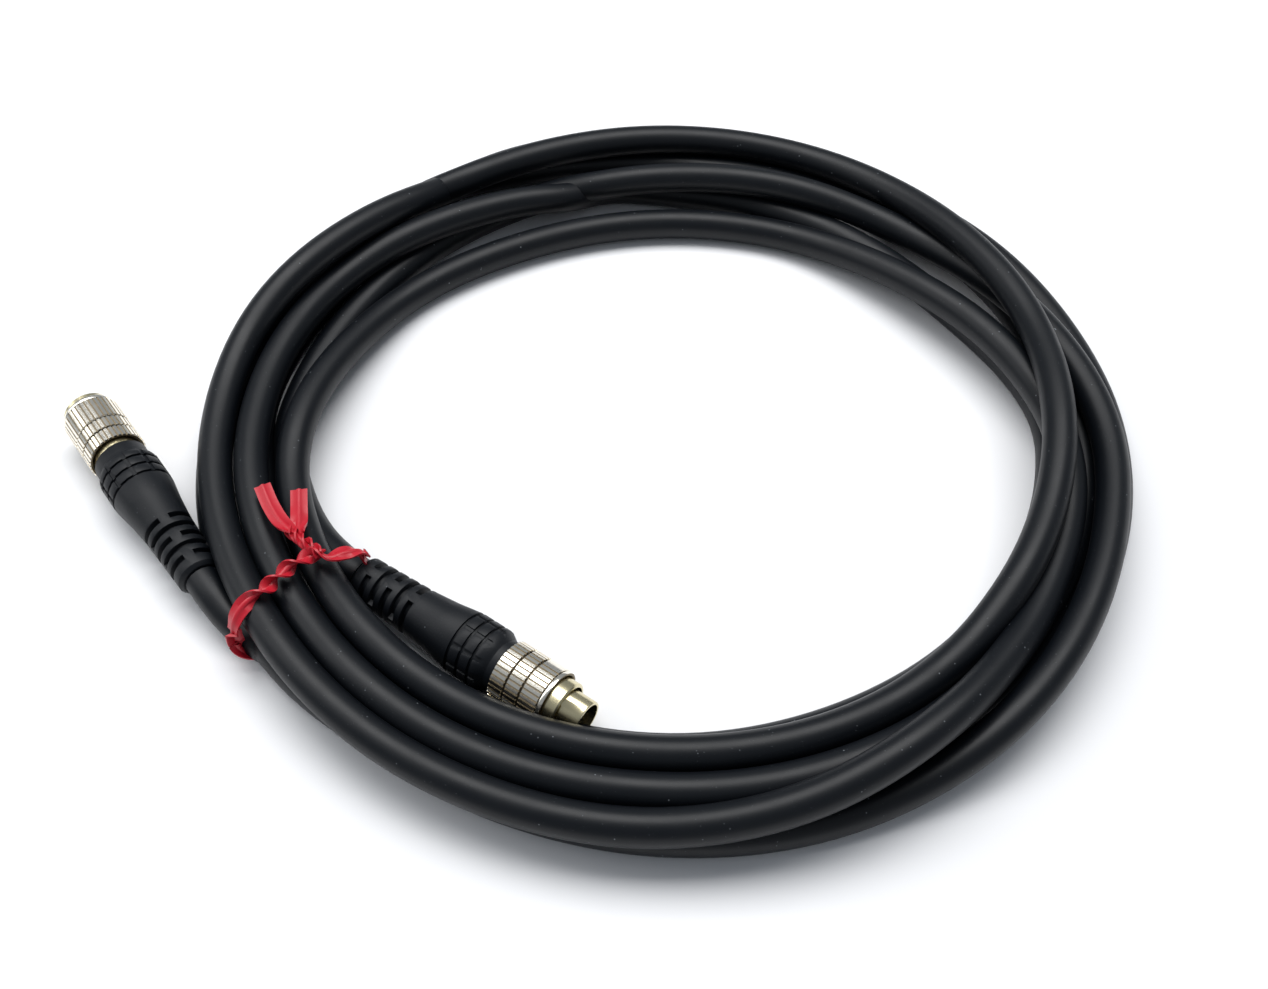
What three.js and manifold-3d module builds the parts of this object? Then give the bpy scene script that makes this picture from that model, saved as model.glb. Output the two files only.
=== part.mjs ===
// Camera cable coil: one round cable wound in six loose turns, a circular plug on each end
// and a twist tie round the turns. It lies flat on z = 0. Millimetres, +Z up.
import * as THREE from 'three';
import { mergeVertices } from 'three/addons/utils/BufferGeometryUtils.js';
import Module from 'manifold-3d';

const wasm = await Module();
wasm.setup();

// Space left between two pieces that touch
const gap = 0.3;
const fullTurn = 360;

// Cable and coil
const cableDiameter = 6.8;
const cableSides = 10;
const coilSteps = 60;
const coilRidges = 4;
const ridgeDepth = 0.16;
const sideDepth = 0.03;
// Radius of the coil's inside, in mm, and its width and height, in cable diameters, one value every
// 20 degrees, anticlockwise from +X. The turns bunch at the tie and spread on the far side from it.
const coilInside = [75.7, 71.5, 66.5, 62.0, 60.6, 60.5, 61.6, 64.8, 69.0,
  71.6, 73.0, 73.5, 73.3, 72.6, 72.3, 73.0, 73.5, 74.5];
const coilWidth = [2.66, 3.20, 4.11, 5.07, 5.32, 5.30, 5.14, 4.78, 4.16,
  3.38, 2.65, 2.54, 2.60, 2.71, 2.79, 2.75, 2.76, 2.75];
const coilHeight = [2.87, 2.63, 2.20, 1.96, 1.91, 1.96, 2.10, 2.20, 2.10,
  2.01, 2.20, 2.44, 2.58, 2.58, 2.58, 2.49, 2.58, 2.77];

// Moulded boot behind each plug, measured from its cable end
const bootLength = 36;
const bootRearDiameter = 8.8;
const bootWaistDiameter = 9.9;
const bootWaistPlace = 15;
const bootGripDiameter = 12.6;
const bootFlare = 0.4;
const bootFrontDiameter = 11.0;
const bootRound = 0.7;
const bootSides = 24;
const slotRows = 5;
const slotPitch = 2.6;
const slotWidth = 1.3;
const slotFloorDiameter = 7.0;
const slotBridge = 2.0;
const firstSlotPlace = 2.6;
const gripRows = 3;
const gripPitch = 2.5;
const gripGrooveWidth = 0.6;
const gripGrooveDepth = 0.55;
const gripPads = 10;
const gripPadSpace = 0.8;
const gripPadDepth = 0.35;
const gripSetback = 3;
const lastGripPlace = bootLength - gripSetback;

// Metal shell inside each plug, its insert and contacts
const shellDiameter = 9.8;
const shankDiameter = 8.6;
const shankDepth = 6;
const shellRound = 0.25;
const shellSides = 32;
const plugReach = 17;
const cavityDiameter = 8.0;
const cavityDepth = 10;
const collarWall = 0.6;
const collarSetback = 4.2;
const collarRecess = 3.5;
const barrelDiameter = 7.4;
const barrelWall = 0.5;
const barrelDepth = 7.5;
const insertDepth = 3.5;
const contactDiameter = 0.7;
const contactLength = 4.2;
const contactHoleDiameter = 0.9;
const contactHoleDepth = 2.4;
const contactSides = 8;
const outerContacts = 9;
const outerContactRadius = 2.15;
const innerContacts = 3;
const innerContactRadius = 0.85;

// Sliding coupling sleeve of each plug
const sleeveWall = 0.7;
const sleeveRadius = shellDiameter / 2 + gap + sleeveWall;
const sleeveSides = 36;
const sleeveRound = 0.35;
const sleeveTravel = 1.3;
const sleeveLengthA = 13.6;
const sleeveLengthB = 11.2;
const skirtLap = 0.9;
const skirtWall = 0.4;
const skirtBore = sleeveRadius - skirtWall;
const sleeveGrooveWidth = 0.7;
const sleeveGrooveDepth = 0.25;
const sleeveGroovePlaces = [3.2, 6.4];
const panelLength = 4.6;
const panelWidth = 4.4;
const panelDepth = 0.3;
const panelTurnA = -150;
const panelTurnB = 35;

// Place of each boot's cable end and the way its plug points, in degrees from +X
const plugPlaceA = [-88.6, -35.4];
const plugHeadingA = 127;
const plugPlaceB = [-58.0, -35.0];
const plugHeadingB = -35.6;

// Free stretches of cable from the boots down into the coil: [x, y, z] after a short straight run
const leadA = [[-84.6, -40.6, 5.4], [-81.8, -43.6, 4.6], [-78.5, -46.4, 3.8], [-74.6, -49.0, 3.4]];
const leadB = [[-63.4, -30.2, 5.6], [-66.6, -26.6, 4.7], [-69.6, -22.4, 3.9], [-72.2, -17.6, 3.4]];
const leadStraight = 2.5;
const leadStep = 2;

// Twist tie: a flat ribbon that runs round the coil, with a twist and two free ends on top
const tieInside = [-58.6, -28.4];
const tieOutside = [-75.4, -57.2];
const tieWidth = 3.4;
const tieThickness = 0.5;
const tieCorner = 2.5;
const tieFloor = 0.3;
const twistStart = [-64.9, -38.6];
const twistEnd = [-70.6, -30.4];
const twistWidth = 2.4;
const twistThickness = 1.2;
const twistTurns = 1.5;
const twistSteps = 14;
const tailLengthA = 11.5;
const tailHeadingA = 117;
const tailLengthB = 10.5;
const tailHeadingB = 88;
const tailRise = 2.2;

const material = (color, roughness, metalness) =>
  new THREE.MeshStandardMaterial({ color, roughness, metalness });
const jacket = material(0x17191c, 0.5, 0);
const rubber = material(0x1b1c1e, 0.75, 0);
const nickel = material(0xd8d5cc, 0.25, 1);
const brass = material(0xc9b98a, 0.3, 1);
const blackPlastic = material(0x101010, 0.6, 0);
const gold = material(0xd9b45a, 0.25, 1);
const redPlastic = material(0xd23a4a, 0.4, 0);

// A geometry as a closed solid with shared corners
function solid(geometry) {
  const bare = geometry.index ? geometry.toNonIndexed() : geometry;
  bare.deleteAttribute('normal');
  bare.deleteAttribute('uv');
  const merged = mergeVertices(bare, 1e-4);
  const vertProperties = new Float32Array(merged.attributes.position.array);
  const triVerts = new Uint32Array(merged.index.array);
  return new wasm.Manifold(new wasm.Mesh({ numProp: 3, vertProperties, triVerts }));
}

function geometryOf(body) {
  const mesh = body.getMesh();
  const geometry = new THREE.BufferGeometry();
  geometry.setAttribute('position', new THREE.BufferAttribute(mesh.vertProperties, 3));
  geometry.setIndex(new THREE.BufferAttribute(mesh.triVerts, 1));
  geometry.computeVertexNormals();
  return geometry;
}

function named(name, geometry, finish) {
  const mesh = new THREE.Mesh(geometry, finish);
  mesh.name = name;
  return mesh;
}

// A turned shape about +X, from [x, radius] pairs that start and end on the axis or close on themselves
function turned(outline, sides) {
  const points = outline.map(([x, radius]) => new THREE.Vector2(radius, x));
  const geometry = new THREE.LatheGeometry(points, sides);
  return geometry.rotateZ(-Math.PI / 2);
}

// A turned ring with a rectangular section, used as a groove cutter
function ringCutter(from, to, inner, outer, sides) {
  const outline = [[from, inner], [from, outer], [to, outer], [to, inner], [from, inner]];
  return solid(turned(outline, sides));
}

// A value from a list that goes once round the coil, eased between its stations
function around(list, degrees) {
  const count = list.length;
  const place = THREE.MathUtils.euclideanModulo(degrees, fullTurn) / fullTurn * count;
  const i = Math.floor(place);
  const t = place - i;
  const [a, b, c, d] = [-1, 0, 1, 2].map((k) => list[(i + k + count) % count]);
  return b + 0.5 * t * (c - a + t * (2 * a - 5 * b + 4 * c - d + t * (3 * (b - c) + d - a)));
}

// Section of the coil, across from 0 at the inside to 1, and up from 0 to 1: flat below, with one
// round ridge for each turn on top and two on each side
function coilSection() {
  const side = [[1 - sideDepth, 0], [1, 0.25], [1 - sideDepth, 0.5], [1, 0.72]];
  const top = [];
  for (let ridge = coilRidges - 1; ridge >= 0; ridge -= 1) {
    const middle = (ridge + 0.5) / coilRidges;
    const reach = 0.5 / coilRidges;
    for (const [across, drop] of [[0.62, 0.35], [0, 0], [-0.62, 0.35], [-1, 1]]) {
      top.push([middle + across * reach, 1 - ridgeDepth * drop]);
    }
  }
  top.pop();
  const otherSide = side.map(([across, up]) => [1 - across, up]).reverse();
  return [...side, ...top, ...otherSide];
}

// The coil as a turned ring whose radii follow the outline above, grown by a clearance all round
function coilRing(grow) {
  const hub = 10;
  const section = coilSection();
  section.push(section[0]);
  const points = section.map(([across, up]) => new THREE.Vector2(hub + across, up));
  const geometry = new THREE.LatheGeometry(points, coilSteps).toNonIndexed();
  const position = geometry.attributes.position;
  for (let i = 0; i < position.count; i += 1) {
    const [x, y, z] = [position.getX(i), position.getY(i), position.getZ(i)];
    const across = Math.hypot(x, z) - hub;
    const bearing = Math.atan2(x, z);
    const degrees = THREE.MathUtils.radToDeg(bearing);
    const inside = around(coilInside, degrees) - grow;
    const width = around(coilWidth, degrees) * cableDiameter + 2 * grow;
    const height = around(coilHeight, degrees) * cableDiameter + 2 * grow;
    const radius = inside + across * width;
    position.setXYZ(i, radius * Math.cos(bearing), radius * Math.sin(bearing), y * height - grow);
  }
  return solid(geometry);
}

// A straight-sided box between two floor points, centred across the line
function barBetween(from, to, width, low, high) {
  const length = Math.hypot(to[0] - from[0], to[1] - from[1]);
  const box = new THREE.BoxGeometry(length, width, high - low);
  box.rotateZ(Math.atan2(to[1] - from[1], to[0] - from[0]));
  box.translate((from[0] + to[0]) / 2, (from[1] + to[1]) / 2, (low + high) / 2);
  return box;
}

// A lead: a round tube that leaves a boot straight and then follows the given points
function lead(place, heading, points) {
  const back = THREE.MathUtils.degToRad(heading + 180);
  const start = [gap, gap + leadStraight].map((reach) => new THREE.Vector3(
    place[0] + reach * Math.cos(back), place[1] + reach * Math.sin(back), bootGripDiameter / 2));
  const rest = points.map((point) => new THREE.Vector3(...point));
  const curve = new THREE.CatmullRomCurve3([...start, ...rest]);
  const section = new THREE.Shape();
  for (let side = 0; side < cableSides; side += 1) {
    const angle = side / cableSides * 2 * Math.PI;
    const [x, y] = [Math.cos(angle) * cableDiameter / 2, Math.sin(angle) * cableDiameter / 2];
    if (side === 0) section.moveTo(x, y);
    else section.lineTo(x, y);
  }
  section.closePath();
  const steps = Math.ceil(curve.getLength() / (leadStep * cableDiameter)) + 2;
  return solid(new THREE.ExtrudeGeometry(section, { steps, extrudePath: curve }));
}

// Radius of the boot's outside at a distance from its cable end
function bootOutline(noseRadius) {
  const grip = lastGripPlace - gripRows * gripPitch;
  return [
    [0, 0],
    [0, bootRearDiameter / 2 - bootRound],
    [bootRound, bootRearDiameter / 2],
    [bootWaistPlace, bootWaistDiameter / 2],
    [(bootWaistPlace + grip) / 2, THREE.MathUtils.lerp(bootWaistDiameter, bootGripDiameter, bootFlare) / 2],
    [grip, bootGripDiameter / 2],
    [lastGripPlace - gripPitch / 2, bootGripDiameter / 2],
    [lastGripPlace, noseRadius + bootRound / 2],
    [bootLength - skirtLap - sleeveTravel - gap, noseRadius],
    [bootLength, noseRadius],
    [bootLength, shankDiameter / 2 + gap],
    [bootLength - shankDepth - gap, shankDiameter / 2 + gap],
    [bootLength - shankDepth - gap, 0],
  ];
}

// Rows of slots that let the boot's tail bend; every other row is a quarter turn on
function slotCutters() {
  const cutters = [];
  for (let row = 0; row < slotRows; row += 1) {
    const from = firstSlotPlace + row * slotPitch;
    const ring = ringCutter(from, from + slotWidth, slotFloorDiameter / 2, bootGripDiameter, bootSides);
    const bridge = new THREE.BoxGeometry(2 * slotWidth, 3 * bootGripDiameter, slotBridge);
    bridge.rotateX(row % 2 ? 0 : Math.PI / 2);
    bridge.translate(from + slotWidth / 2, 0, 0);
    cutters.push(ring.subtract(solid(bridge)));
  }
  return cutters;
}

// Grooves between the rows of grip pads, and the spaces between the pads of a row
function gripCutters() {
  const cutters = [];
  const start = lastGripPlace - gripRows * gripPitch;
  const floor = bootGripDiameter / 2 - gripGrooveDepth;
  for (let row = 0; row <= gripRows; row += 1) {
    const from = start + row * gripPitch - gripGrooveWidth / 2;
    cutters.push(ringCutter(from, from + gripGrooveWidth, floor, bootGripDiameter, bootSides));
  }
  for (let pad = 0; pad < gripPads; pad += 1) {
    const space = new THREE.BoxGeometry(gripRows * gripPitch, gripPadSpace, bootGripDiameter);
    space.translate(start + gripRows * gripPitch / 2, 0, bootGripDiameter - gripPadDepth);
    space.rotateX(pad / gripPads * 2 * Math.PI);
    cutters.push(solid(space));
  }
  return cutters;
}

function boot(noseRadius) {
  let body = solid(turned(bootOutline(noseRadius), bootSides));
  for (const cutter of [...slotCutters(), ...gripCutters()]) {
    body = body.subtract(cutter);
  }
  return geometryOf(body);
}

// Shell with one wide cavity at the front, which the pins stand in
function openShell() {
  const front = bootLength + plugReach;
  return turned([
    [bootLength - shankDepth, 0],
    [bootLength - shankDepth, shankDiameter / 2],
    [bootLength + gap, shankDiameter / 2],
    [bootLength + gap, shellDiameter / 2],
    [front - shellRound, shellDiameter / 2],
    [front, shellDiameter / 2 - shellRound],
    [front, cavityDiameter / 2],
    [front - cavityDepth, cavityDiameter / 2],
    [front - cavityDepth, 0],
  ], shellSides);
}

// Shell with a collar round a longer, thinner barrel
function barrelShell() {
  const front = bootLength + plugReach;
  const collar = front - collarSetback;
  const bore = barrelDiameter / 2 - barrelWall;
  return turned([
    [bootLength - shankDepth, 0],
    [bootLength - shankDepth, shankDiameter / 2],
    [bootLength + gap, shankDiameter / 2],
    [bootLength + gap, shellDiameter / 2],
    [collar - shellRound, shellDiameter / 2],
    [collar, shellDiameter / 2 - shellRound],
    [collar, shellDiameter / 2 - collarWall],
    [collar - collarRecess, shellDiameter / 2 - collarWall],
    [collar - collarRecess, barrelDiameter / 2],
    [front - shellRound, barrelDiameter / 2],
    [front, barrelDiameter / 2 - shellRound / 2],
    [front, bore],
    [front - barrelDepth, bore],
    [front - barrelDepth, 0],
  ], shellSides);
}

// Coupling sleeve: a plain tube, or one with a wider skirt that runs over the boot's nose
function sleeve(from, length, skirt, panelTurn) {
  const to = from + length;
  const outer = sleeveRadius;
  const bore = shellDiameter / 2 + gap;
  const skirtEnd = from + skirt;
  const rear = skirt > 0
    ? [[skirtEnd, bore], [skirtEnd, skirtBore], [from, skirtBore]]
    : [[from, bore]];
  const outline = [
    ...rear,
    [from, outer - sleeveRound],
    [from + sleeveRound, outer],
    [to - sleeveRound, outer],
    [to, outer - sleeveRound],
    [to, bore],
    rear[0],
  ];
  let body = solid(turned(outline, sleeveSides));
  for (const place of sleeveGroovePlaces) {
    const floor = outer - sleeveGrooveDepth;
    const start = from + place;
    body = body.subtract(ringCutter(start, start + sleeveGrooveWidth, floor, 2 * outer, sleeveSides));
  }
  const panel = new THREE.BoxGeometry(panelLength, panelWidth, 2 * outer);
  panel.translate(to - sleeveRound - panelLength / 2 - gap, 0, 2 * outer - panelDepth);
  panel.rotateX(THREE.MathUtils.degToRad(panelTurn));
  return geometryOf(body.subtract(solid(panel)));
}

function contactPlaces() {
  const places = [];
  for (const [count, radius] of [[outerContacts, outerContactRadius], [innerContacts, innerContactRadius]]) {
    for (let i = 0; i < count; i += 1) {
      const angle = i / count * 2 * Math.PI;
      places.push([radius * Math.cos(angle), radius * Math.sin(angle)]);
    }
  }
  return places;
}

// A short round bar along +X
function bar(from, length, diameter, sides) {
  const radius = diameter / 2;
  return turned([[from, 0], [from, radius], [from + length, radius], [from + length, 0]], sides);
}

// Twist tie: the ribbon's loop stands across the coil, and the twist and tails lie on its top
function twistTie() {
  const run = [tieOutside[0] - tieInside[0], tieOutside[1] - tieInside[1]];
  const length = Math.hypot(run[0], run[1]);
  const heading = Math.atan2(run[1], run[0]);
  const top = tieTop();
  const loopOutline = (shape, inset) => {
    const [left, right, low, high] = [inset, length - inset, tieFloor + inset, top - inset];
    const corner = tieCorner - inset;
    shape.moveTo(left + corner, low);
    shape.lineTo(right - corner, low);
    shape.quadraticCurveTo(right, low, right, low + corner);
    shape.lineTo(right, high - corner);
    shape.quadraticCurveTo(right, high, right - corner, high);
    shape.lineTo(left + corner, high);
    shape.quadraticCurveTo(left, high, left, high - corner);
    shape.lineTo(left, low + corner);
    shape.quadraticCurveTo(left, low, left + corner, low);
    return shape;
  };
  const outline = loopOutline(new THREE.Shape(), 0);
  outline.holes.push(loopOutline(new THREE.Path(), tieThickness));
  const loop = new THREE.ExtrudeGeometry(outline, { depth: tieWidth, bevelEnabled: false, curveSegments: 4 });
  loop.translate(0, 0, -tieWidth / 2);
  loop.rotateX(Math.PI / 2);
  loop.rotateZ(heading);
  loop.translate(tieInside[0], tieInside[1], 0);

  const reach = Math.hypot(twistEnd[0] - twistStart[0], twistEnd[1] - twistStart[1]);
  const twist = new THREE.BoxGeometry(reach, twistWidth, twistThickness, twistSteps, 1, 1);
  const position = twist.attributes.position;
  for (let i = 0; i < position.count; i += 1) {
    const [x, y, z] = [position.getX(i), position.getY(i), position.getZ(i)];
    const turn = x / reach * twistTurns * 2 * Math.PI;
    position.setY(i, y * Math.cos(turn) - z * Math.sin(turn));
    position.setZ(i, y * Math.sin(turn) + z * Math.cos(turn));
  }
  const lift = top - tieThickness + twistWidth / 2 + gap;
  twist.rotateZ(Math.atan2(twistEnd[1] - twistStart[1], twistEnd[0] - twistStart[0]));
  twist.translate((twistStart[0] + twistEnd[0]) / 2, (twistStart[1] + twistEnd[1]) / 2, lift);

  let body = solid(loop).add(solid(twist));
  for (const [tailLength, tailHeading] of [[tailLengthA, tailHeadingA], [tailLengthB, tailHeadingB]]) {
    const tail = new THREE.BoxGeometry(tailLength, tieWidth, tieThickness);
    tail.translate(tailLength / 2, 0, 0);
    tail.rotateY(-Math.asin(tailRise / tailLength));
    tail.rotateZ(THREE.MathUtils.degToRad(tailHeading));
    tail.translate(twistEnd[0], twistEnd[1], lift);
    body = body.add(solid(tail));
  }
  return body;
}

// Height of the tie's top: just over the coil where the tie crosses it
function tieTop() {
  const middle = [(tieInside[0] + tieOutside[0]) / 2, (tieInside[1] + tieOutside[1]) / 2];
  const degrees = THREE.MathUtils.radToDeg(Math.atan2(middle[1], middle[0]));
  return around(coilHeight, degrees) * cableDiameter + gap + tieThickness;
}

// One plug with its boot: the group's +X points out of the plug, and its origin is the boot's cable end
function plug(letter, place, heading, noseRadius, shell, sleeveMesh, insertAndContacts) {
  const group = new THREE.Group();
  group.position.set(place[0], place[1], bootGripDiameter / 2);
  group.rotation.z = THREE.MathUtils.degToRad(heading);
  group.add(named(`boot_${letter}`, boot(noseRadius), rubber));
  group.add(named(`shell_${letter}`, geometryOf(solid(shell)), brass));
  group.add(named(`sleeve_${letter}`, sleeveMesh, nickel));
  for (const mesh of insertAndContacts) {
    group.add(mesh);
  }
  return group;
}

const plugFront = bootLength + plugReach;

// Plug A: pins stand on its insert
const cavityFloor = plugFront - cavityDepth;
const pinInsert = bar(cavityFloor + gap, insertDepth, cavityDiameter - 2 * gap, shellSides);
const pinFoot = cavityFloor + gap + insertDepth + gap;
const partsA = [named('insert_a', geometryOf(solid(pinInsert)), blackPlastic)];
contactPlaces().forEach(([y, z], i) => {
  const pin = bar(pinFoot, contactLength, contactDiameter, contactSides).translate(0, y, z);
  partsA.push(named(`pin_a_${String(i + 1).padStart(2, '0')}`, geometryOf(solid(pin)), gold));
});
const sleeveStartA = bootLength + gap + sleeveTravel;
const sleeveA = sleeve(sleeveStartA, sleeveLengthA, 0, panelTurnA);

// Plug B: its insert has a hole for each pin of the plug that it mates with
const barrelBore = barrelDiameter - 2 * barrelWall;
const socketFoot = plugFront - barrelDepth + gap;
let socketInsert = solid(bar(socketFoot, insertDepth, barrelBore - 2 * gap, shellSides));
for (const [y, z] of contactPlaces()) {
  const from = socketFoot + insertDepth - contactHoleDepth;
  const hole = bar(from, contactHoleDepth + gap, contactHoleDiameter, contactSides).translate(0, y, z);
  socketInsert = socketInsert.subtract(solid(hole));
}
const partsB = [named('insert_b', geometryOf(socketInsert), blackPlastic)];
const sleeveStartB = bootLength - skirtLap;
const skirtDepth = skirtLap + gap + sleeveTravel;
const sleeveB = sleeve(sleeveStartB, sleeveLengthB, skirtDepth, panelTurnB);

const plugA = plug('a', plugPlaceA, plugHeadingA, bootFrontDiameter / 2, openShell(), sleeveA, partsA);
const plugB = plug('b', plugPlaceB, plugHeadingB, skirtBore - gap, barrelShell(), sleeveB, partsB);

// Coil, with a channel under it for the tie's lower run, and the two leads cut to meet its sides
const channel = barBetween(tieInside, tieOutside, tieWidth + 2 * gap, -gap, tieFloor + tieThickness + gap);
const coil = coilRing(0).subtract(solid(channel));
const coilClear = coilRing(gap);
const tubeA = lead(plugPlaceA, plugHeadingA, leadA);
const tubeB = lead(plugPlaceB, plugHeadingB, leadB);

const group = new THREE.Group();
group.add(named('cable_coil', geometryOf(coil), jacket));
group.add(named('cable_lead_a', geometryOf(tubeA.subtract(coilClear)), jacket));
group.add(named('cable_lead_b', geometryOf(tubeB.subtract(coilClear)), jacket));
group.add(plugA, plugB);
group.add(named('twist_tie', geometryOf(twistTie()), redPlastic));

// The frame's origin is under the middle of the whole object
group.updateMatrixWorld(true);
const box = new THREE.Box3().setFromObject(group);
group.position.set(-(box.min.x + box.max.x) / 2, -(box.min.y + box.max.y) / 2, 0);

export default group;
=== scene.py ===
# Camera cable coil: the round cable in six loose turns, a boot and plug on each end, and a red twist
# tie. Metres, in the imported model's frame; the lists of places are millimetres from the coil's centre.
import math

import bpy
import numpy as np
from mathutils import Matrix, Vector


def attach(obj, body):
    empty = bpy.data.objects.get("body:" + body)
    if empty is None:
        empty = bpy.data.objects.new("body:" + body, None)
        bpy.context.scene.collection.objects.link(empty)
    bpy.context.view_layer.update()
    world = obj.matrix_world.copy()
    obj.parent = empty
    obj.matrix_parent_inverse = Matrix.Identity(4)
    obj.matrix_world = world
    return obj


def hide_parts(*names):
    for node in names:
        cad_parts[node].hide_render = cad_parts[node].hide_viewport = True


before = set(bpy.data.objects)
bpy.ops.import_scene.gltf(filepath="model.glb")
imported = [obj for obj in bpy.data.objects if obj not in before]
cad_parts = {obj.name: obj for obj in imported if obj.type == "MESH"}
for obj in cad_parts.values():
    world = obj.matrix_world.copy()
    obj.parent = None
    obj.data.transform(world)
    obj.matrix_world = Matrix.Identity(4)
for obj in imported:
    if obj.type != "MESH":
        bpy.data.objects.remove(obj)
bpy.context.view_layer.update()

MM = 0.001
COIL_CENTRE = (15.31, -2.77)
CABLE_DIAMETER = 6.8

# Camera: its place in millimetres from the coil's centre, its tilt below level, and its lens
EYE = (-6.5, -188.9, 228.74)
PITCH_DOWN = 52
LENS = 40.3
SENSOR = 36

# Where each plug's boot starts, and which way it points, in degrees
PLUG_A = (-88.6, -35.4, 127)
PLUG_B = (-58.0, -35.0, -35.6)
PLUG_HEIGHT = 6.3

# Free stretches of cable between the boots and the coil
LEAD_A = [(-84.6, -40.6, 5.4), (-81.8, -43.6, 4.6), (-78.5, -46.4, 3.8), (-74.6, -49.0, 3.4)]
LEAD_B = [(-63.4, -30.2, 5.6), (-66.6, -26.6, 4.7), (-69.6, -22.4, 3.9), (-72.2, -17.6, 3.4)]
LEAD_GAP = 0.3
LEAD_STRAIGHT = 2.5

# Lanes of the six turns, from places along each strand in the photograph. Each has its
# bearing round the coil, then the radius at which it is seen on a level SIGHT_LEVEL above the floor, the
# height it starts from, and 1 where it shows or 0 where it is hidden and guessed
SIGHT_LEVEL = 7.43
LANES = {
    # From plug A: under everything, across to the middle of the bundle, then outermost
    222: (87.6, 3.4, 0), 240: (81.0, 3.4, 0), 255: (79.4, 3.4, 0), 270: (79.2, 3.4, 0),
    285: (80.2, 3.4, 0), 300: (82.6, 3.4, 0), 315: (86.2, 3.4, 0), 330: (88.4, 3.4, 1),
    360: (90.6, 3.4, 1), 390: (90.4, 3.4, 0), 420: (90.8, 3.4, 0), 450: (91.2, 3.4, 0),
    480: (88.0, 3.4, 0), 495: (86.0, 3.4, 0), 510: (84.4, 3.4, 1), 540: (83.8, 3.4, 1),
    # Second turn: lowest and innermost on the near side and at the right
    555: (80.5, 3.4, 0), 570: (77.6, 3.4, 0), 600: (74.6, 3.4, 0), 630: (73.6, 3.4, 0),
    660: (74.0, 3.4, 0), 690: (76.4, 3.4, 0), 720: (79.0, 3.4, 1), 750: (72.1, 3.4, 1),
    780: (72.5, 3.4, 1), 795: (73.8, 3.4, 1), 810: (75.0, 3.4, 1), 825: (77.0, 3.4, 0),
    840: (80.2, 3.5, 1), 855: (83.6, 6.0, 1), 870: (85.5, 8.0, 1), 900: (84.6, 9.5, 1),
    # Third turn: middle on the near side, hidden at the right, outermost at the left
    930: (81.3, 9.5, 1), 960: (80.6, 9.3, 1), 990: (80.3, 9.3, 1), 1005: (80.9, 8.0, 1),
    1025: (81.8, 3.8, 1), 1050: (83.0, 3.4, 0), 1080: (84.7, 3.4, 0), 1110: (82.6, 3.4, 0),
    1140: (83.6, 3.4, 0), 1155: (84.2, 3.4, 0), 1170: (84.9, 4.0, 0), 1185: (87.4, 8.0, 1),
    1200: (91.0, 13.5, 1), 1215: (94.0, 14.0, 1), 1230: (95.3, 10.8, 1), 1260: (92.0, 9.8, 1),
    # Fourth turn: outer on the near side, inner on the far side and at the left
    1290: (88.0, 13.0, 1), 1320: (86.9, 9.6, 1), 1350: (86.8, 9.3, 1), 1365: (85.2, 9.8, 1),
    1380: (82.8, 9.8, 1), 1410: (81.0, 9.8, 1), 1440: (80.8, 9.8, 1), 1460: (76.4, 9.8, 1),
    1480: (70.8, 9.0, 1), 1500: (66.8, 5.0, 1), 1530: (63.9, 3.4, 1), 1560: (64.6, 3.4, 1),
    1590: (70.0, 6.0, 1), 1620: (75.7, 9.8, 1),
    # Fifth turn: inner on the near side, over everything at the right, outer on the far side
    1650: (74.2, 9.6, 1), 1680: (73.4, 9.4, 1), 1710: (73.2, 9.4, 1), 1740: (74.5, 9.4, 1),
    1770: (75.5, 11.0, 1), 1785: (77.5, 13.5, 1), 1800: (80.8, 16.2, 1), 1815: (84.8, 17.0, 1),
    1830: (88.7, 15.0, 1), 1860: (93.7, 9.8, 1), 1890: (94.8, 9.8, 1), 1920: (92.6, 7.5, 1),
    1950: (91.2, 3.4, 1), 1980: (91.6, 3.4, 0),
    # Last turn: over the first at plug A, lowest and outermost on the near side, then in to plug B
    2000: (90.5, 8.0, 0), 2016: (88.6, 9.8, 0), 2030: (86.8, 7.0, 1), 2050: (87.2, 3.4, 1),
    2070: (88.5, 3.4, 1), 2085: (89.3, 4.0, 1), 2100: (89.4, 7.0, 1), 2115: (89.3, 9.6, 1),
    2145: (89.5, 9.8, 1), 2160: (90.3, 9.8, 1), 2180: (88.2, 9.8, 1), 2210: (82.4, 9.8, 1),
    2230: (82.3, 9.5, 1), 2250: (80.2, 9.6, 1), 2280: (77.5, 9.6, 1), 2310: (76.0, 6.0, 1),
    2340: (74.6, 3.4, 0),
}

# How the turns settle: degrees between places, and for each round the share of an overlap that is
# pushed apart, the sinking, how far lanes give way, and how much places even out
LANE_STEP = 3
SETTLE_ROUNDS = 500
PUSH_SHARE = 0.25
SINK = 0.03
SEEN_STIFFNESS = 0.95
SIDE_SHARE = 0.8
PULL_BACK = 0.01
SEEN_PULL_BACK = 0.04
SIDE_EVENING = 0.2
RISE_EVENING = 0.22

# The turns stand off the floor a little where the tie runs beneath them, over this many degrees
TIE_BEARING = 212
TIE_LIFT = 0.7
TIE_SPREAD = 9

# Spacing of the cable's points, rounds of smoothing, and the bevel resolution that rounds its section
ROUTE_STEP = 3
ROUTE_SMOOTHING = 3
CABLE_ROUNDNESS = 7

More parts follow.
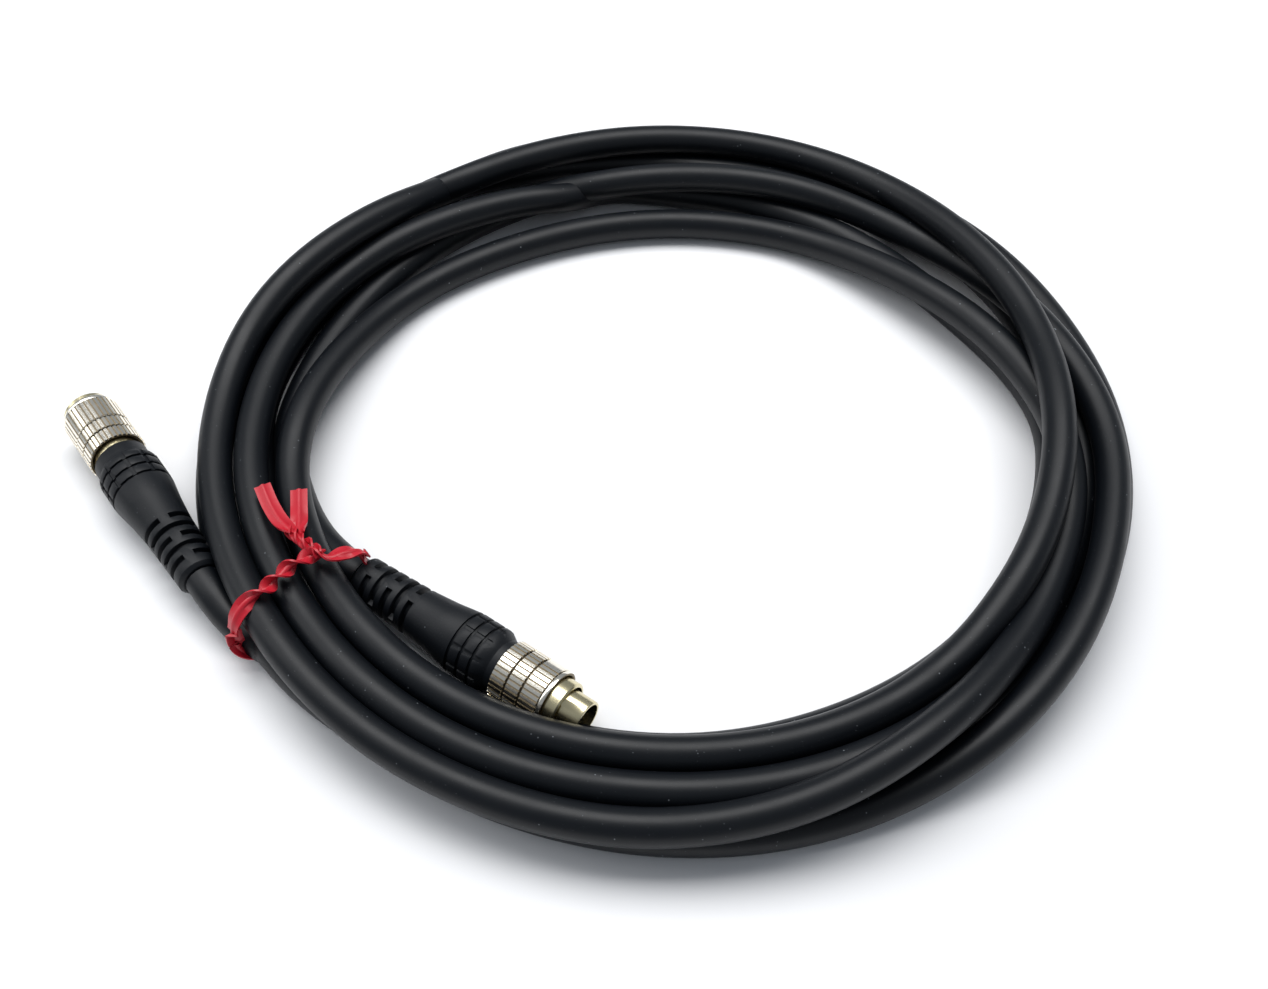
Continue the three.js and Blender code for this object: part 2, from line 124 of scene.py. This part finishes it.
# Coupling sleeves: each starts so far in front of its boot's cable end, and has this length
SLEEVE_A = (37.6, 13.6)
SLEEVE_B = (35.1, 11.2)
SLEEVE_BORE = 5.2
SLEEVE_RADIUS = 5.9
SLEEVE_BAND = 3.2
SLEEVE_LIP = 0.9
SLEEVE_TEETH = 38
TOOTH_FACES = 3
RIB = 0.26
RIB_TAPER = 0.96
GROOVE = 0.4
GROOVE_DEPTH = 0.3
CORE_INSET = 0.15
CORE_CHAMFER = 0.05
LIP_RISE = 0.1
LIP_GAP = 0.1
LIP_CHAMFER = 0.2

# Steps that keep the bores of the sleeve's rings apart, and how far out past the valley floors the painted
# shade in the valleys reaches
BAND_BORE_STEP = 0.02
LIP_BORE_STEP = 0.01
PAINTED_SHADE_REACH = 0.02

# Sides of a turned ring, and the angles past which edges are rounded or stay sharp
RING_SIDES = 96
RING_CORNER_ANGLE = 40
RING_SHARP_ANGLE = 30
RIB_SHARP_ANGLE = 25

# Added to a face's number before it is rounded down, so that a whole number stays itself
ROUNDING = 0.001

# Middle and half width, in degrees round the plug, of the front band's plain flat
FLAT_A = (-150, 24)
FLAT_B = (35, 24)

# Copies of CAD shapes: merging distance in metres, and the angle under which faces count as one
MERGE_DISTANCE = 2e-6
FLAT_ANGLE = 0.5

# Rounded corners of the boots, in metres, and the angles past which an edge stays sharp
BOOT_CORNER = 0.00012
BOOT_SHARP_ANGLE = 32
SHELL_SHARP_ANGLE = 30

# Twist tie: the ribbon's widths and thickness, the turn of its twisted ends, and the points between
# two of its places
TIE_WIDTH = 3.2
TIE_THICKNESS = 0.35
TWIST_WIDTH = 2.6
TWIST_BACK_WIDTH = 2.4
TWIST_TURN = 400
TWIST_STEPS = 14
RIBBON_STEPS = 10
RIBBON_SHARP_ANGLE = 50

# Where the ribbon runs nearly straight up, its side is taken across this direction instead
STEEP = 0.2
STEEP_SIDE = Vector((0.77, -0.64, 0))

# Places along the tie: the band with the ribbon's roll at each, the twisted ends, and the free ends
TIE_BAND = [
    (-59.2, -35.0, 1.0, 180), (-58.0, -33.6, 4.0, 100), (-57.0, -33.6, 9.5, 60), (-57.9, -34.0, 13.2, 30),
    (-60.2, -35.4, 14.6, 0), (-62.7, -36.9, 15.3, 35), (-64.7, -36.7, 15.8, 80), (-66.4, -36.9, 15.9, 150),
    (-69.0, -38.4, 15.5, 260), (-71.2, -40.6, 15.1, 390), (-72.8, -42.6, 14.9, 500),
    (-74.8, -44.6, 14.8, 620), (-76.9, -46.6, 14.4, 690), (-78.8, -48.6, 12.2, 720),
    (-79.6, -49.6, 8.0, 730), (-78.8, -50.0, 4.0, 725), (-75.6, -48.4, 0.6, 720),
]
TIE_TWIST = [
    (-64.2, -36.6, 15.9), (-66.0, -35.2, 16.3), (-67.9, -33.7, 16.2),
    (-69.6, -32.1, 15.9), (-70.9, -30.8, 15.6),
]
TIE_TAILS = [
    [(-69.6, -32.0, 15.8), (-71.4, -30.2, 15.6), (-72.9, -28.6, 15.4),
     (-75.1, -25.3, 15.2), (-77.8, -20.0, 15.3)],
    [(-68.4, -32.6, 15.6), (-69.2, -30.8, 15.2), (-69.7, -27.6, 14.8),
     (-70.2, -24.4, 14.6), (-70.8, -20.5, 14.6)],
]
TAIL_ROLLS = [(60, 25, 8, 0, 0), (-60, -30, 8, 0, 0)]

# The ribbon's section: shares of its half width, and how far the face stands up there, in millimetres
RIBBON_ACROSS = [-1, -0.9, -0.3, -0.18, 0, 0.18, 0.3, 0.9, 1]
RIBBON_RISE = [0, 0.02, 0.02, 0.22, 0.34, 0.22, 0.02, 0.02, 0]

# Stage, in metres and watts
FLOOR_SIZE = 8
FLOOR_DROP = 0.0002
PAPER = (0.90, 0.90, 0.91, 1)
PAPER_ROUGHNESS = 0.9
SKY = (0.84, 0.91, 1.0, 1)
SKY_STRENGTH = 0.30
TOP_SOFTBOX = {"place": (0, 0.35, 1.1), "size": (1.3, 0.7), "power": 15.5}
LEFT_SOFTBOX = {"place": (-0.9, 0.1, 0.7), "size": (0.5, 0.9), "power": 3}

# Dust and gloss: sizes are noise scales per metre, and each pair is where a mask starts and ends
SPECK_EDGE = (0.16, 0.06)
SPECK_PATCHES = (0.60, 0.68)
SPECK_PATCH_SCALE = 420
MARK_PATCHES = (0.70, 0.80)
MARK_SCALE = 2300
MARK_STRENGTH = 0.35
GLOSS_SCALE = 140
DUST_ROUGHNESS = 0.3
RELIEF_DEPTH = 0.0001


# Camera

def place_camera():
    """The camera that took the view in the photograph."""
    data = bpy.data.cameras.new("camera")
    data.lens = LENS
    data.sensor_width = SENSOR
    camera = bpy.data.objects.new("camera", data)
    camera.location = row(EYE)
    camera.rotation_euler = (math.radians(90 - PITCH_DOWN), 0, 0)
    bpy.context.scene.collection.objects.link(camera)
    bpy.context.scene.camera = camera


def row(place):
    """A place in millimetres from the coil's centre, in metres in the model's frame."""
    return Vector(((place[0] + COIL_CENTRE[0]) * MM, (place[1] + COIL_CENTRE[1]) * MM, place[2] * MM))


# Materials

def group(name, inputs, outputs):
    """An empty node group with float or colour sockets."""
    tree = bpy.data.node_groups.new(name, "ShaderNodeTree")
    for label, kind, value in inputs:
        socket = tree.interface.new_socket(label, in_out="INPUT", socket_type=kind)
        socket.default_value = value
    for label, kind in outputs:
        tree.interface.new_socket(label, in_out="OUTPUT", socket_type=kind)
    return tree, tree.nodes.new("NodeGroupInput"), tree.nodes.new("NodeGroupOutput")


def math_node(tree, operation, first, second):
    """The outcome of a sum or product of two sockets or numbers."""
    node = tree.nodes.new("ShaderNodeMath")
    node.operation = operation
    for i, value in enumerate((first, second)):
        if isinstance(value, (int, float)):
            node.inputs[i].default_value = value
        else:
            tree.links.new(value, node.inputs[i])
    return node.outputs[0]


def noise(tree, scale, detail, roughness=0.5):
    """Soft noise in object coordinates, its scale a number or a socket."""
    coordinates = tree.nodes.new("ShaderNodeTexCoord")
    node = tree.nodes.new("ShaderNodeTexNoise")
    node.inputs["Detail"].default_value = detail
    node.inputs["Roughness"].default_value = roughness
    if isinstance(scale, (int, float)):
        node.inputs["Scale"].default_value = scale
    else:
        tree.links.new(scale, node.inputs["Scale"])
    tree.links.new(coordinates.outputs["Object"], node.inputs["Vector"])
    return node.outputs["Fac"]


def ramp(tree, value, low, high):
    """A value stretched so that low becomes 0 and high becomes 1."""
    node = tree.nodes.new("ShaderNodeMapRange")
    node.inputs["From Min"].default_value = low
    node.inputs["From Max"].default_value = high
    tree.links.new(value, node.inputs["Value"])
    return node.outputs["Result"]


def dust_group():
    """Specks of dust and pale handling marks as a mask."""
    tree, source, out = group(
        "dust", [("Scale", "NodeSocketFloat", 900), ("Amount", "NodeSocketFloat", 0.5)],
        [("Mask", "NodeSocketFloat")])
    specks = tree.nodes.new("ShaderNodeTexVoronoi")
    coordinates = tree.nodes.new("ShaderNodeTexCoord")
    tree.links.new(coordinates.outputs["Object"], specks.inputs["Vector"])
    tree.links.new(source.outputs["Scale"], specks.inputs["Scale"])
    dots = ramp(tree, specks.outputs["Distance"], *SPECK_EDGE)
    chosen = ramp(tree, noise(tree, SPECK_PATCH_SCALE, 2), *SPECK_PATCHES)
    marks = ramp(tree, noise(tree, MARK_SCALE, 3), *MARK_PATCHES)
    sparse = math_node(tree, "MULTIPLY", dots, chosen)
    faint = math_node(tree, "MULTIPLY", marks, MARK_STRENGTH)
    total = math_node(tree, "ADD", sparse, faint)
    mask = math_node(tree, "MULTIPLY", total, source.outputs["Amount"])
    tree.links.new(mask, out.inputs["Mask"])
    return tree


def grain_group():
    """Fine surface grain as a height, and slow changes of gloss as a value."""
    tree, source, out = group(
        "grain",
        [("Scale", "NodeSocketFloat", 2500), ("Gloss", "NodeSocketFloat", 0.4),
         ("Spread", "NodeSocketFloat", 0.1)],
        [("Height", "NodeSocketFloat"), ("Roughness", "NodeSocketFloat")])
    tree.links.new(noise(tree, source.outputs["Scale"], 4, 0.6), out.inputs["Height"])
    cloud = math_node(tree, "SUBTRACT", noise(tree, GLOSS_SCALE, 4), 0.5)
    change = math_node(tree, "MULTIPLY", cloud, source.outputs["Spread"])
    tree.links.new(math_node(tree, "ADD", source.outputs["Gloss"], change), out.inputs["Roughness"])
    return tree


def finish(name, colour, pale, gloss, spread, metal=0.0, grain=2500, bump=0.15, dust=0.3, shine=0.5):
    """A material with grain, slow gloss changes and dust, from the two shared groups."""
    made = bpy.data.materials.new(name)
    made.use_nodes = True
    tree = made.node_tree
    shader = tree.nodes["Principled BSDF"]
    shader.inputs["Metallic"].default_value = metal
    shader.inputs["Specular IOR Level"].default_value = shine
    grains = tree.nodes.new("ShaderNodeGroup")
    grains.node_tree = GROUPS["grain"]
    grains.inputs["Scale"].default_value = grain
    grains.inputs["Gloss"].default_value = gloss
    grains.inputs["Spread"].default_value = spread
    dusts = tree.nodes.new("ShaderNodeGroup")
    dusts.node_tree = GROUPS["dust"]
    dusts.inputs["Amount"].default_value = dust
    mix = tree.nodes.new("ShaderNodeMix")
    mix.data_type = "RGBA"
    mix.inputs["A"].default_value = (*colour, 1)
    mix.inputs["B"].default_value = (*pale, 1)
    tree.links.new(dusts.outputs["Mask"], mix.inputs["Factor"])
    tree.links.new(mix.outputs["Result"], shader.inputs["Base Color"])
    dull = math_node(tree, "MULTIPLY", dusts.outputs["Mask"], DUST_ROUGHNESS)
    rough = math_node(tree, "ADD", grains.outputs["Roughness"], dull)
    tree.links.new(rough, shader.inputs["Roughness"])
    relief = tree.nodes.new("ShaderNodeBump")
    relief.inputs["Strength"].default_value = bump
    relief.inputs["Distance"].default_value = RELIEF_DEPTH
    tree.links.new(grains.outputs["Height"], relief.inputs["Height"])
    tree.links.new(relief.outputs["Normal"], shader.inputs["Normal"])
    return made


GROUPS = {"dust": dust_group(), "grain": grain_group()}
JACKET = finish("cable_jacket", (0.0020, 0.0032, 0.0052), (0.22, 0.24, 0.26), 0.43, 0.16,
                bump=0.10, dust=0.8, shine=0.30)
RUBBER = finish("boot_rubber", (0.0025, 0.0038, 0.0060), (0.20, 0.22, 0.24), 0.50, 0.16,
                bump=0.25, dust=0.6, shine=0.30)
NICKEL = finish("nickel", (0.95, 0.90, 0.79), (0.55, 0.52, 0.46), 0.20, 0.14, metal=1, bump=0.08, dust=0.2)
# A darker nickel laid on the sleeves' grooves and rib valleys: painted shade in the recesses
GROOVE_SHADE_NICKEL = finish("nickel_painted_shade", (0.24, 0.20, 0.14), (0.10, 0.09, 0.07), 0.5, 0.2, metal=1, dust=0.2)
BRASS = finish("brass", (0.74, 0.66, 0.42), (0.45, 0.38, 0.22), 0.26, 0.16, metal=1, bump=0.08, dust=0.2)
INSERT = finish("insert_plastic", (0.014, 0.014, 0.014), (0.1, 0.1, 0.1), 0.5, 0.1, bump=0.2)
GOLD = finish("contact_gold", (0.87, 0.66, 0.28), (0.6, 0.45, 0.2), 0.22, 0.08, metal=1, dust=0.1)
RED = finish("tie_red", (0.50, 0.010, 0.024), (0.80, 0.30, 0.30), 0.40, 0.16, grain=1400, bump=0.3, dust=0.25)


# Route of the cable

def eased(bearings, values, wanted):
    """A smooth value between the stations of a list, by a cubic through each pair and its neighbours."""
    slopes = np.gradient(values, bearings)
    index = np.clip(np.searchsorted(bearings, wanted, side="right") - 1, 0, len(bearings) - 2)
    span = bearings[index + 1] - bearings[index]
    t = (wanted - bearings[index]) / span
    first = (2 * t**3 - 3 * t**2 + 1) * values[index] + (t**3 - 2 * t**2 + t) * span * slopes[index]
    second = (3 * t**2 - 2 * t**3) * values[index + 1] + (t**3 - t**2) * span * slopes[index + 1]
    return first + second


def lifted(bearing, seen_radius, height):
    """Where a lane really runs: on the line of sight through its place on the sight level."""
    angle = np.radians(bearing)
    share = (height - SIGHT_LEVEL) / (EYE[2] - SIGHT_LEVEL)
    x = seen_radius * np.cos(angle)
    y = seen_radius * np.sin(angle)
    return np.stack([x + (EYE[0] - x) * share, y + (EYE[1] - y) * share, height], axis=1)


def settled_turns():
    """The six turns: laps that overlap at one bearing are pushed apart, and all sink towards the floor.

    Laps are compared only at equal bearings, and some crossings still run through each other.
    """
    rows = np.array([(bearing, *lane) for bearing, lane in sorted(LANES.items())], float)
    bearing = np.arange(rows[0, 0], rows[-1, 0] + 0.01, LANE_STEP)
    radius = eased(rows[:, 0], rows[:, 1], bearing)
    height = np.interp(bearing, rows[:, 0], rows[:, 2])
    seen = np.interp(bearing, rows[:, 0], rows[:, 3])
    from_tie = (bearing - TIE_BEARING + 180) % 360 - 180
    floor = CABLE_DIAMETER / 2 + TIE_LIFT * np.exp(-(from_tie / TIE_SPREAD) ** 2)
    hidden = 1 - SEEN_STIFFNESS * seen
    wanted = radius.copy()
    turn = 360 // LANE_STEP
    count = len(bearing)
    out = np.stack([np.cos(np.radians(bearing)), np.sin(np.radians(bearing))], axis=1)
    for _ in range(SETTLE_ROUNDS):
        place = lifted(bearing, radius, height)
        across = (place[:, :2] * out).sum(axis=1)
        push_out = np.zeros(count)
        push_up = np.zeros(count)
        for laps in range(1, count // turn + 1):
            i = np.arange(count - laps * turn)
            j = i + laps * turn
            apart = np.stack([across[j] - across[i], height[j] - height[i]], axis=1)
            distance = np.linalg.norm(apart, axis=1) + 1e-9
            push = PUSH_SHARE * np.clip(CABLE_DIAMETER - distance, 0, None) / distance
            push_out[i] -= push * apart[:, 0]
            push_out[j] += push * apart[:, 0]
            push_up[i] -= push * apart[:, 1]
            push_up[j] += push * apart[:, 1]
        radius += SIDE_SHARE * hidden * push_out + (PULL_BACK + SEEN_PULL_BACK * seen) * (wanted - radius)
        radius[1:-1] += SIDE_EVENING * hidden[1:-1] * (radius[2:] - 2 * radius[1:-1] + radius[:-2])
        height += push_up - SINK
        height[1:-1] += RISE_EVENING * (height[2:] - 2 * height[1:-1] + height[:-2])
        height = np.maximum(height, floor)
    return lifted(bearing, radius, height)


def boot_end(plug, reach):
    """A place behind a boot, on its plug's axis."""
    angle = math.radians(plug[2] + 180)
    return (plug[0] + reach * math.cos(angle), plug[1] + reach * math.sin(angle), PLUG_HEIGHT)


def cable_route():
    """All of the cable from boot A to boot B, in millimetres."""
    straight = [LEAD_GAP, LEAD_GAP + LEAD_STRAIGHT]
    start = [boot_end(PLUG_A, reach) for reach in straight] + LEAD_A
    end = [boot_end(PLUG_B, reach) for reach in straight] + LEAD_B
    turns = settled_turns()
    points = np.array([*start, *turns[1:-1], *reversed(end)])
    gaps = np.linalg.norm(np.diff(points, axis=0), axis=1)
    along = np.concatenate([[0], np.cumsum(gaps)])
    wanted = np.linspace(0, along[-1], int(along[-1] / ROUTE_STEP))
    smooth = np.stack([eased(along, points[:, k], wanted) for k in range(3)], axis=1)
    for _ in range(ROUTE_SMOOTHING):
        smooth[2:-2] = (smooth[1:-3] + 2 * smooth[2:-2] + smooth[3:-1]) / 4
    return smooth


def smooth_curve(name, points, diameter, material):
    """A round cord along the points."""
    data = bpy.data.curves.new(name, "CURVE")
    data.dimensions = "3D"
    spline = data.splines.new("POLY")
    spline.points.add(len(points) - 1)
    for point, place in zip(spline.points, points):
        point.co = (*row(place), 1)
    spline.use_smooth = True
    data.bevel_depth = diameter / 2 * MM
    data.bevel_resolution = CABLE_ROUNDNESS
    data.use_fill_caps = True
    data.materials.append(material)
    cord = bpy.data.objects.new(name, data)
    bpy.context.scene.collection.objects.link(cord)
    return cord


def make_cable():
    """The whole cable, and the place where it leaves boot A."""
    points = cable_route()
    cable = smooth_curve("camera_cable", points, CABLE_DIAMETER, JACKET)
    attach(cable, "cable")
    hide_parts("cable_coil", "cable_lead_a", "cable_lead_b")
    return cable, row(points[0])


# Boots and metal

def only(piece):
    """Selects one piece alone."""
    bpy.ops.object.select_all(action="DESELECT")
    piece.select_set(True)
    bpy.context.view_layer.objects.active = piece


def thicken(piece, wall, offset):
    """Gives an open surface a wall, in millimetres."""
    shell = piece.modifiers.new("wall", "SOLIDIFY")
    shell.thickness = wall * MM
    shell.offset = offset
    bpy.ops.object.modifier_apply(modifier="wall")


def round_corners(piece, width, angle):
    """Rounds the edges that turn by more than the angle, by a width in metres."""
    bevel = piece.modifiers.new("corners", "BEVEL")
    bevel.width = width
    bevel.segments = 2
    bevel.angle_limit = math.radians(angle)
    bpy.ops.object.modifier_apply(modifier="corners")


def cad_copy(node, name, material, corner, angle):
    """A CAD node's shape, smooth but for its sharp edges, which are rounded where a corner is given."""
    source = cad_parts[node]
    piece = bpy.data.objects.new(name, source.data.copy())
    bpy.context.scene.collection.objects.link(piece)
    only(piece)
    bpy.ops.object.mode_set(mode="EDIT")
    bpy.ops.mesh.select_all(action="SELECT")
    bpy.ops.mesh.remove_doubles(threshold=MERGE_DISTANCE)
    bpy.ops.mesh.dissolve_limited(angle_limit=math.radians(FLAT_ANGLE))
    bpy.ops.object.mode_set(mode="OBJECT")
    if corner:
        round_corners(piece, corner, angle)
    bpy.ops.object.shade_smooth_by_angle(angle=math.radians(angle))
    piece.data.materials.clear()
    piece.data.materials.append(material)
    return piece


def plug_matrix(plug):
    """From a plug's own axis along +X, starting at the boot's cable end, to the model's frame."""
    place = Matrix.Translation(row((plug[0], plug[1], PLUG_HEIGHT)))
    return place @ Matrix.Rotation(math.radians(plug[2]), 4, "Z")


def open_tube(start, end, radius, sides):
    """An open tube along +X."""
    bpy.ops.object.select_all(action="DESELECT")
    bpy.ops.mesh.primitive_cylinder_add(
        vertices=sides, radius=radius * MM, depth=(end - start) * MM, end_fill_type="NOTHING",
        location=((start + end) / 2 * MM, 0, 0), rotation=(0, math.radians(90), 0))
    tube = bpy.context.active_object
    bpy.ops.object.transform_apply(location=True, rotation=True, scale=True)
    return tube


def ribbed_ring(start, end, radius, wall, flat):
    """A tube along +X with fine ribs along it, plain over the flat where one is given."""
    sides = TOOTH_FACES * SLEEVE_TEETH
    ring = open_tube(start, end, radius, sides)
    bpy.ops.object.mode_set(mode="EDIT")
    bpy.ops.mesh.select_all(action="DESELECT")
    bpy.ops.mesh.select_mode(type="FACE")
    bpy.ops.object.mode_set(mode="OBJECT")
    for face in ring.data.polygons:
        turn = math.degrees(math.atan2(face.normal.z, face.normal.y))
        face_number = int(math.floor((turn % 360) / 360 * sides + ROUNDING))
        plain = flat is not None and abs((turn - flat[0] + 180) % 360 - 180) < flat[1]
        face.select = face_number % TOOTH_FACES > 0 or plain
    bpy.ops.object.mode_set(mode="EDIT")
    bpy.ops.mesh.extrude_region_shrink_fatten(TRANSFORM_OT_shrink_fatten={"value": RIB * MM})
    bpy.ops.transform.resize(value=(RIB_TAPER, 1, 1))
    bpy.ops.object.mode_set(mode="OBJECT")
    thicken(ring, wall, -1)
    bpy.ops.object.shade_smooth_by_angle(angle=math.radians(RIB_SHARP_ANGLE))
    return ring


def plain_ring(start, end, radius, wall, chamfer):
    """A turned tube along +X with its corners broken."""
    ring = open_tube(start, end, radius, RING_SIDES)
    thicken(ring, wall, -1)
    round_corners(ring, chamfer * MM, RING_CORNER_ANGLE)
    bpy.ops.object.shade_smooth_by_angle(angle=math.radians(RING_SHARP_ANGLE))
    return ring


def joined(name, parts, matrix, material, body, node, painted_shade_radius=0):
    """One piece from its parts, in the node's place. Faces nearer the axis than the given radius take a
    darker metal as painted shade.
    """
    only(parts[0])
    for part in parts[1:]:
        part.select_set(True)
    bpy.ops.object.join()
    piece = bpy.context.active_object
    piece.name = name
    piece.data.materials.clear()
    piece.data.materials.append(material)
    # Groove and valley faces take the darker metal as painted shade
    if painted_shade_radius:
        piece.data.materials.append(GROOVE_SHADE_NICKEL)
        for face in piece.data.polygons:
            face.material_index = int(math.hypot(face.center.y, face.center.z) < painted_shade_radius * MM)
    piece.data.transform(matrix)
    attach(piece, body)
    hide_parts(node)
    return piece


def make_sleeve(letter, plug, place, flat):
    """A coupling sleeve: ribbed bands between sunken grooves, with painted shade on the groove and valley
    faces, a plain flat in front and a smooth lip.
    """
    start, length = place
    base = SLEEVE_RADIUS - RIB
    wall = base - SLEEVE_BORE
    end = start + length
    core = [start + CORE_INSET, end - CORE_INSET]
    parts = [plain_ring(*core, base - GROOVE_DEPTH, wall - GROOVE_DEPTH, CORE_CHAMFER)]
    stops = [start, start + SLEEVE_BAND, start + 2 * SLEEVE_BAND, end - SLEEVE_LIP]
    front_band = len(stops) - 2
    for band, (rear, front) in enumerate(zip(stops, stops[1:])):
        first = rear + (GROOVE / 2 if band else 0)
        last = front - (GROOVE / 2 if band < front_band else LIP_GAP)
        plain = flat if band == front_band else None
        parts.append(ribbed_ring(first, last, base, wall - BAND_BORE_STEP, plain))
    lip_wall = wall + LIP_RISE - LIP_BORE_STEP
    parts.append(plain_ring(end - SLEEVE_LIP, end, base + LIP_RISE, lip_wall, LIP_CHAMFER))
    return joined(f"coupling_sleeve_{letter}", parts, plug_matrix(plug), NICKEL, f"coupling_{letter}",
                  f"sleeve_{letter}", base + PAINTED_SHADE_REACH)


def make_boot(letter):
    """A moulded boot, with soft corners."""
    boot = cad_copy(f"boot_{letter}", f"rubber_boot_{letter}", RUBBER, BOOT_CORNER, BOOT_SHARP_ANGLE)
    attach(boot, "cable")
    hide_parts(f"boot_{letter}")
    return boot


def make_shell(letter):
    """A plug's turned metal shell."""
    shell = cad_copy(f"shell_{letter}", f"plug_shell_{letter}", BRASS, 0, SHELL_SHARP_ANGLE)
    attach(shell, "cable")
    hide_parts(f"shell_{letter}")
    return shell


# Twist tie

def ribbon(name, stations, width, steps=RIBBON_STEPS):
    """A flat ribbon with a wire rib down its middle, along stations of x, y, z and roll."""
    places = np.array(stations, float)
    gaps = np.linalg.norm(np.diff(places[:, :3], axis=0), axis=1)
    along = np.concatenate([[0], np.cumsum(gaps)])
    wanted = np.linspace(0, along[-1], len(stations) * steps)
    path = np.stack([eased(along, places[:, k], wanted) for k in range(4)], axis=1)
    columns = len(RIBBON_ACROSS)
    bpy.ops.object.select_all(action="DESELECT")
    bpy.ops.mesh.primitive_grid_add(x_subdivisions=columns - 1, y_subdivisions=len(path) - 1, size=1)
    strip = bpy.context.active_object
    strip.name = name
    tangents = np.gradient(path[:, :3], axis=0)
    for i, place in enumerate(path):
        forward = Vector(tangents[i]).normalized()
        side = forward.cross(Vector((0, 0, 1)))
        if side.length <= STEEP:
            side = STEEP_SIDE.cross(forward)
        side.normalize()
        side = Matrix.Rotation(math.radians(place[3]), 3, forward) @ side
        up = side.cross(forward)
        for j, (share, rise) in enumerate(zip(RIBBON_ACROSS, RIBBON_RISE)):
            spot = Vector(place[:3]) + side * (share * width / 2) + up * rise
            strip.data.vertices[i * columns + j].co = row(spot)
    strip.data.update()
    thicken(strip, TIE_THICKNESS, 0)
    bpy.ops.object.shade_smooth_by_angle(angle=math.radians(RIBBON_SHARP_ANGLE))
    return strip


def make_tie():
    """The red tie: its band round the turns, the two ends twisted together, and both free ends."""
    last = len(TIE_TWIST) - 1
    twist = [(*place, TWIST_TURN * i / last) for i, place in enumerate(TIE_TWIST)]
    twist_back = [(x, y, z, roll + 90) for x, y, z, roll in twist]
    parts = [
        ribbon("tie_band", TIE_BAND, TIE_WIDTH),
        ribbon("tie_twist", twist, TWIST_WIDTH, TWIST_STEPS),
        ribbon("tie_twist_back", twist_back, TWIST_BACK_WIDTH, TWIST_STEPS),
    ]
    for i, (tail, rolls) in enumerate(zip(TIE_TAILS, TAIL_ROLLS)):
        parts.append(ribbon(f"tie_tail_{i}", [(*place, roll) for place, roll in zip(tail, rolls)], TIE_WIDTH))
    return joined("red_twist_tie", parts, Matrix.Identity(4), RED, "cable", "twist_tie")


# Stage

def make_stage():
    """A plain pale floor."""
    bpy.ops.object.select_all(action="DESELECT")
    bpy.ops.mesh.primitive_plane_add(size=FLOOR_SIZE, location=(0, 0, -FLOOR_DROP))
    floor = bpy.context.active_object
    floor.name = "floor"
    paper = bpy.data.materials.new("paper")
    paper.use_nodes = True
    shader = paper.node_tree.nodes["Principled BSDF"]
    shader.inputs["Base Color"].default_value = PAPER
    shader.inputs["Roughness"].default_value = PAPER_ROUGHNESS
    floor.data.materials.append(paper)


def softbox(name, place, size, power):
    """An area light that faces the middle of the floor."""
    data = bpy.data.lights.new(name, "AREA")
    data.shape = "RECTANGLE"
    data.size, data.size_y = size
    data.energy = power
    light = bpy.data.objects.new(name, data)
    light.location = place
    light.rotation_euler = (-Vector(place)).to_track_quat("-Z", "Y").to_euler()
    bpy.context.scene.collection.objects.link(light)


def light_stage():
    """A pale room and two softboxes."""
    world = bpy.data.worlds.new("studio")
    world.use_nodes = True
    background = world.node_tree.nodes["Background"]
    background.inputs["Color"].default_value = SKY
    background.inputs["Strength"].default_value = SKY_STRENGTH
    bpy.context.scene.world = world
    softbox("top_softbox", **TOP_SOFTBOX)
    softbox("left_softbox", **LEFT_SOFTBOX)
    bpy.context.scene.view_settings.view_transform = "Standard"


place_camera()
cable, exit_place = make_cable()
boots = [make_boot(letter) for letter in "ab"]
shells = [make_shell(letter) for letter in "ab"]
make_sleeve("a", PLUG_A, SLEEVE_A, FLAT_A)
sleeve_b = make_sleeve("b", PLUG_B, SLEEVE_B, FLAT_B)
for name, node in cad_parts.items():
    if name.startswith("pin_a"):
        node.data.materials[0] = GOLD
    elif name.startswith("insert"):
        node.data.materials[0] = INSERT
make_tie()
make_stage()
light_stage()
